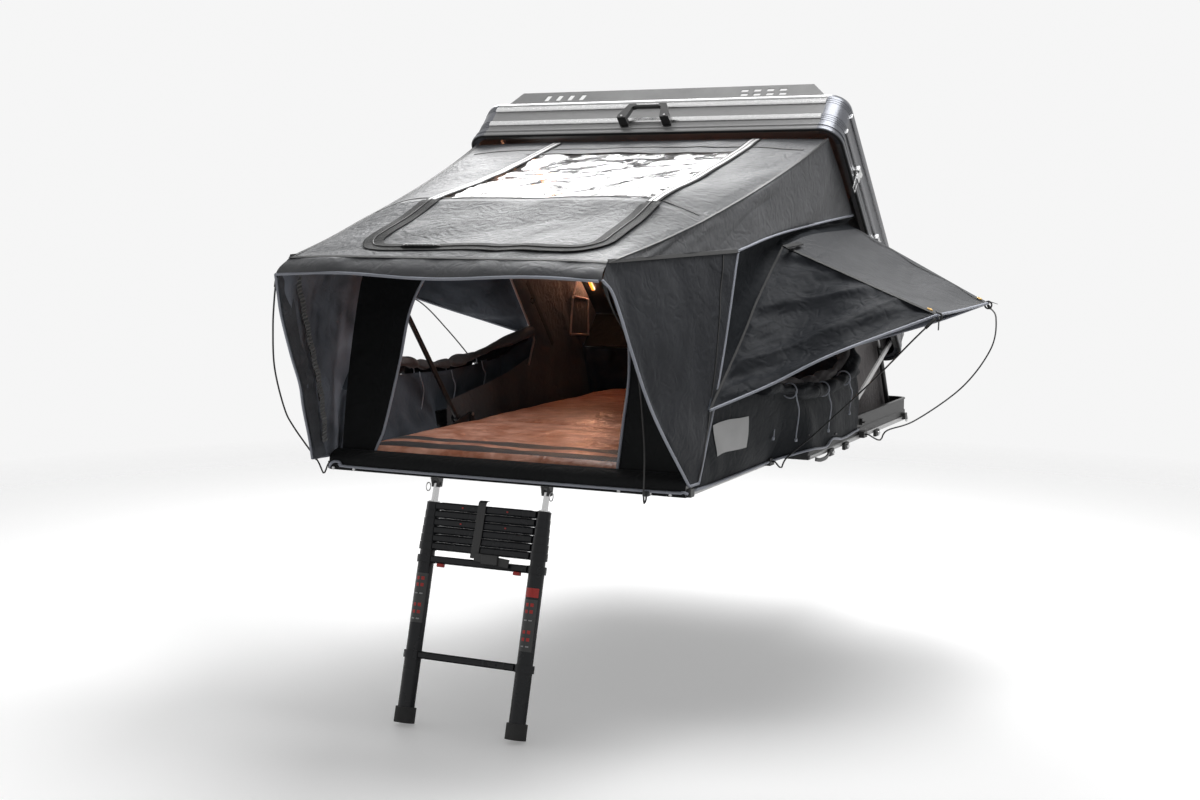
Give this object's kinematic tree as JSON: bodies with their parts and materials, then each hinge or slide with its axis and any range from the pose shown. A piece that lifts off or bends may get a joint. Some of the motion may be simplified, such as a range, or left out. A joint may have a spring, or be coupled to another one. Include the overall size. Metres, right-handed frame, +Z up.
{
  "type": "roof top tent",
  "caption": "Open roof top tent with a rear-raised hard lid, fold-out floor, folding bow, charcoal cloth with side awnings and a clear roof window, and a telescopic ladder.",
  "frame": {"origin": "centre of the four roof bar bolt holes, in the mounting plane under the base", "axes": "+Z up, +X to the right when seen from the ladder, +Y towards the rear of the base"},
  "size_m": [2.6124, 2.637, 2.1696],
  "materials": {
    "board": "dark laminated floor board",
    "grey_aluminium": "satin light grey extrusion",
    "black_aluminium": "black powder coat",
    "black_plastic": "matt black moulding",
    "black_steel": "black powder coat",
    "spring_rod": "black coated spring rod",
    "bright_steel": "brushed steel",
    "mattress_cover": "textured rust brown cover with dark mesh bands",
    "wall_cloth": "black woven canvas",
    "fly_cloth": "charcoal coated canvas",
    "clear_film": "clear flexible film",
    "dark_aluminium": "dark grey powder coat",
    "bright_aluminium": "bright satin rib",
    "lid_skin": "dark composite panel",
    "rubber": "black rubber",
    "amber_light": "amber light strip"
  },
  "bodies": {
    "base": {"base_floor": "board", "base_side_rails": "grey_aluminium", "base_rear_rail": "grey_aluminium", "base_front_sill": "black_aluminium", "base_corner_caps": "black_plastic", "mount_rails": "grey_aluminium", "arm_brackets": "black_steel", "floor_hinge_posts": "black_steel", "hinge_pins": "bright_steel", "bow_brackets": "black_steel", "base_side_fittings": "black_steel", "base_mattress": "mattress_cover", "base_rods": "spring_rod", "side_walls": "wall_cloth", "rear_wall": "wall_cloth", "window_rolls": "wall_cloth", "organizer_pocket": "wall_cloth"},
    "arms": {"lift_arms": "black_steel"},
    "strut_tubes": {"strut_cylinders": "black_steel"},
    "strut_plungers": {"strut_rods": "bright_steel"},
    "lid": {"lid_frame": "dark_aluminium", "lid_ribs": "bright_aluminium", "lid_corner_caps": "black_plastic", "lid_panel": "lid_skin", "lid_seal": "rubber", "grab_handle": "black_plastic", "fairing_plate": "black_aluminium", "lid_bolts": "bright_steel", "lid_top_rails": "grey_aluminium", "latch_bases": "bright_steel", "lid_pivots": "black_steel", "light_strip": "amber_light", "canopy_roof": "fly_cloth", "skylight_film": "clear_film", "fly_sides": "fly_cloth", "awnings": "fly_cloth"},
    "lever_front_right": {"latch_lever_front_right": "bright_steel"},
    "lever_rear_right": {"latch_lever_rear_right": "bright_steel"},
    "lever_front_left": {"latch_lever_front_left": "bright_steel"},
    "lever_rear_left": {"latch_lever_rear_left": "bright_steel"},
    "floor": {"fold_floor": "board", "fold_frame": "grey_aluminium", "fold_hinge_leaves": "black_steel", "fold_mattress": "mattress_cover", "floor_brackets": "black_steel", "front_wall": "wall_cloth", "floor_rods": "spring_rod"},
    "bow": {"front_bow": "black_aluminium", "bow_knuckles": "black_plastic"},
    "ladder_1": {"ladder_section_1": "black_aluminium", "ladder_hooks": "bright_steel"},
    "ladder_2": {"ladder_section_2": "black_aluminium"},
    "ladder_3": {"ladder_section_3": "black_aluminium"},
    "ladder_4": {"ladder_section_4": "black_aluminium"},
    "ladder_5": {"ladder_section_5": "black_aluminium"},
    "ladder_6": {"ladder_section_6": "black_aluminium"},
    "ladder_7": {"ladder_section_7": "black_aluminium"},
    "ladder_8": {"ladder_section_8": "black_aluminium", "ladder_feet": "rubber"}
  },
  "joints": [
    {"name": "lid_tilt", "type": "hinge", "parent": "arms", "child": "lid", "pos_m": [0, 0.50465, 0.34468], "axis": [1, 0, 0], "range_deg": [0, 61.36], "deforming": ["canopy_roof", "skylight_film", "fly_sides", "awnings", "side_walls", "rear_wall", "window_rolls", "organizer_pocket", "base_rods", "front_wall", "floor_rods"]},
    {"name": "arm_lift", "type": "hinge", "parent": "base", "child": "arms", "pos_m": [0, -0.22, 0.046], "axis": [1, 0, 0], "range_deg": [-16.76, 0]},
    {"name": "strut_swing", "type": "hinge", "parent": "base", "child": "strut_tubes", "pos_m": [0, 0.56, 0.05], "axis": [1, 0, 0], "range_deg": [0, 48.57]},
    {"name": "strut_stroke", "type": "slide", "parent": "strut_tubes", "child": "strut_plungers", "axis": [0, -0.483, 0.8756], "range_m": [-0.2632, 0]},
    {"name": "floor_fold", "type": "hinge", "parent": "base", "child": "floor", "pos_m": [0, -0.605, 0.084], "axis": [-1, 0, 0], "range_deg": [0, 180], "deforming": ["canopy_roof", "skylight_film", "fly_sides", "awnings", "side_walls", "rear_wall", "window_rolls", "organizer_pocket", "base_rods", "front_wall", "floor_rods"]},
    {"name": "bow_fold", "type": "hinge", "parent": "base", "child": "bow", "pos_m": [0, -0.68, 0.076], "axis": [-1, 0, 0], "range_deg": [0, 128]},
    {"name": "ladder_swing", "type": "hinge", "parent": "base", "child": "ladder_1", "pos_m": [-0.04, -1.512, -0.03], "axis": [1, 0, 0], "range_deg": [-55, 0]},
    {"name": "ladder_slide_1", "type": "slide", "parent": "ladder_1", "child": "ladder_2", "axis": [0, -0.2823, -0.9593], "range_m": [0, 0.292]},
    {"name": "ladder_slide_2", "type": "slide", "parent": "ladder_2", "child": "ladder_3", "axis": [0, -0.2823, -0.9593], "range_m": [0, 0.292]},
    {"name": "ladder_slide_3", "type": "slide", "parent": "ladder_3", "child": "ladder_4", "axis": [0, -0.2823, -0.9593], "range_m": [0, 0.292]},
    {"name": "ladder_slide_4", "type": "slide", "parent": "ladder_4", "child": "ladder_5", "axis": [0, -0.2823, -0.9593], "range_m": [0, 0.292]},
    {"name": "ladder_slide_5", "type": "slide", "parent": "ladder_5", "child": "ladder_6", "axis": [0, -0.2823, -0.9593], "range_m": [0, 0.292]},
    {"name": "ladder_slide_6", "type": "slide", "parent": "ladder_6", "child": "ladder_7", "axis": [0, -0.2823, -0.9593], "range_m": [-0.017, 0.275]},
    {"name": "ladder_slide_7", "type": "slide", "parent": "ladder_7", "child": "ladder_8", "axis": [0, -0.2823, -0.9593], "range_m": [-0.15, 0]},
    {"name": "latch_front_right", "type": "hinge", "parent": "lid", "child": "lever_front_right", "pos_m": [0.794, -0.15071, 1.03309], "axis": [0, -0.712, 0.7022], "range_deg": [0, 110]},
    {"name": "latch_rear_right", "type": "hinge", "parent": "lid", "child": "lever_rear_right", "pos_m": [0.794, 0.11274, 0.77329], "axis": [0, -0.712, 0.7022], "range_deg": [0, 110]},
    {"name": "latch_front_left", "type": "hinge", "parent": "lid", "child": "lever_front_left", "pos_m": [-0.794, -0.15071, 1.03309], "axis": [0, 0.712, -0.7022], "range_deg": [0, 110]},
    {"name": "latch_rear_left", "type": "hinge", "parent": "lid", "child": "lever_rear_left", "pos_m": [-0.794, 0.11274, 0.77329], "axis": [0, 0.712, -0.7022], "range_deg": [0, 110]}
  ],
  "couplings": [
    {"joint": "arm_lift", "follows": "lid_tilt", "ratio": -0.27317},
    {"joint": "strut_swing", "follows": "lid_tilt", "ratio": 0.79151},
    {"joint": "strut_stroke", "follows": "lid_tilt", "m_per_rad": -0.24574},
    {"joint": "bow_fold", "follows": "floor_fold", "ratio": 0.71111}
  ]
}
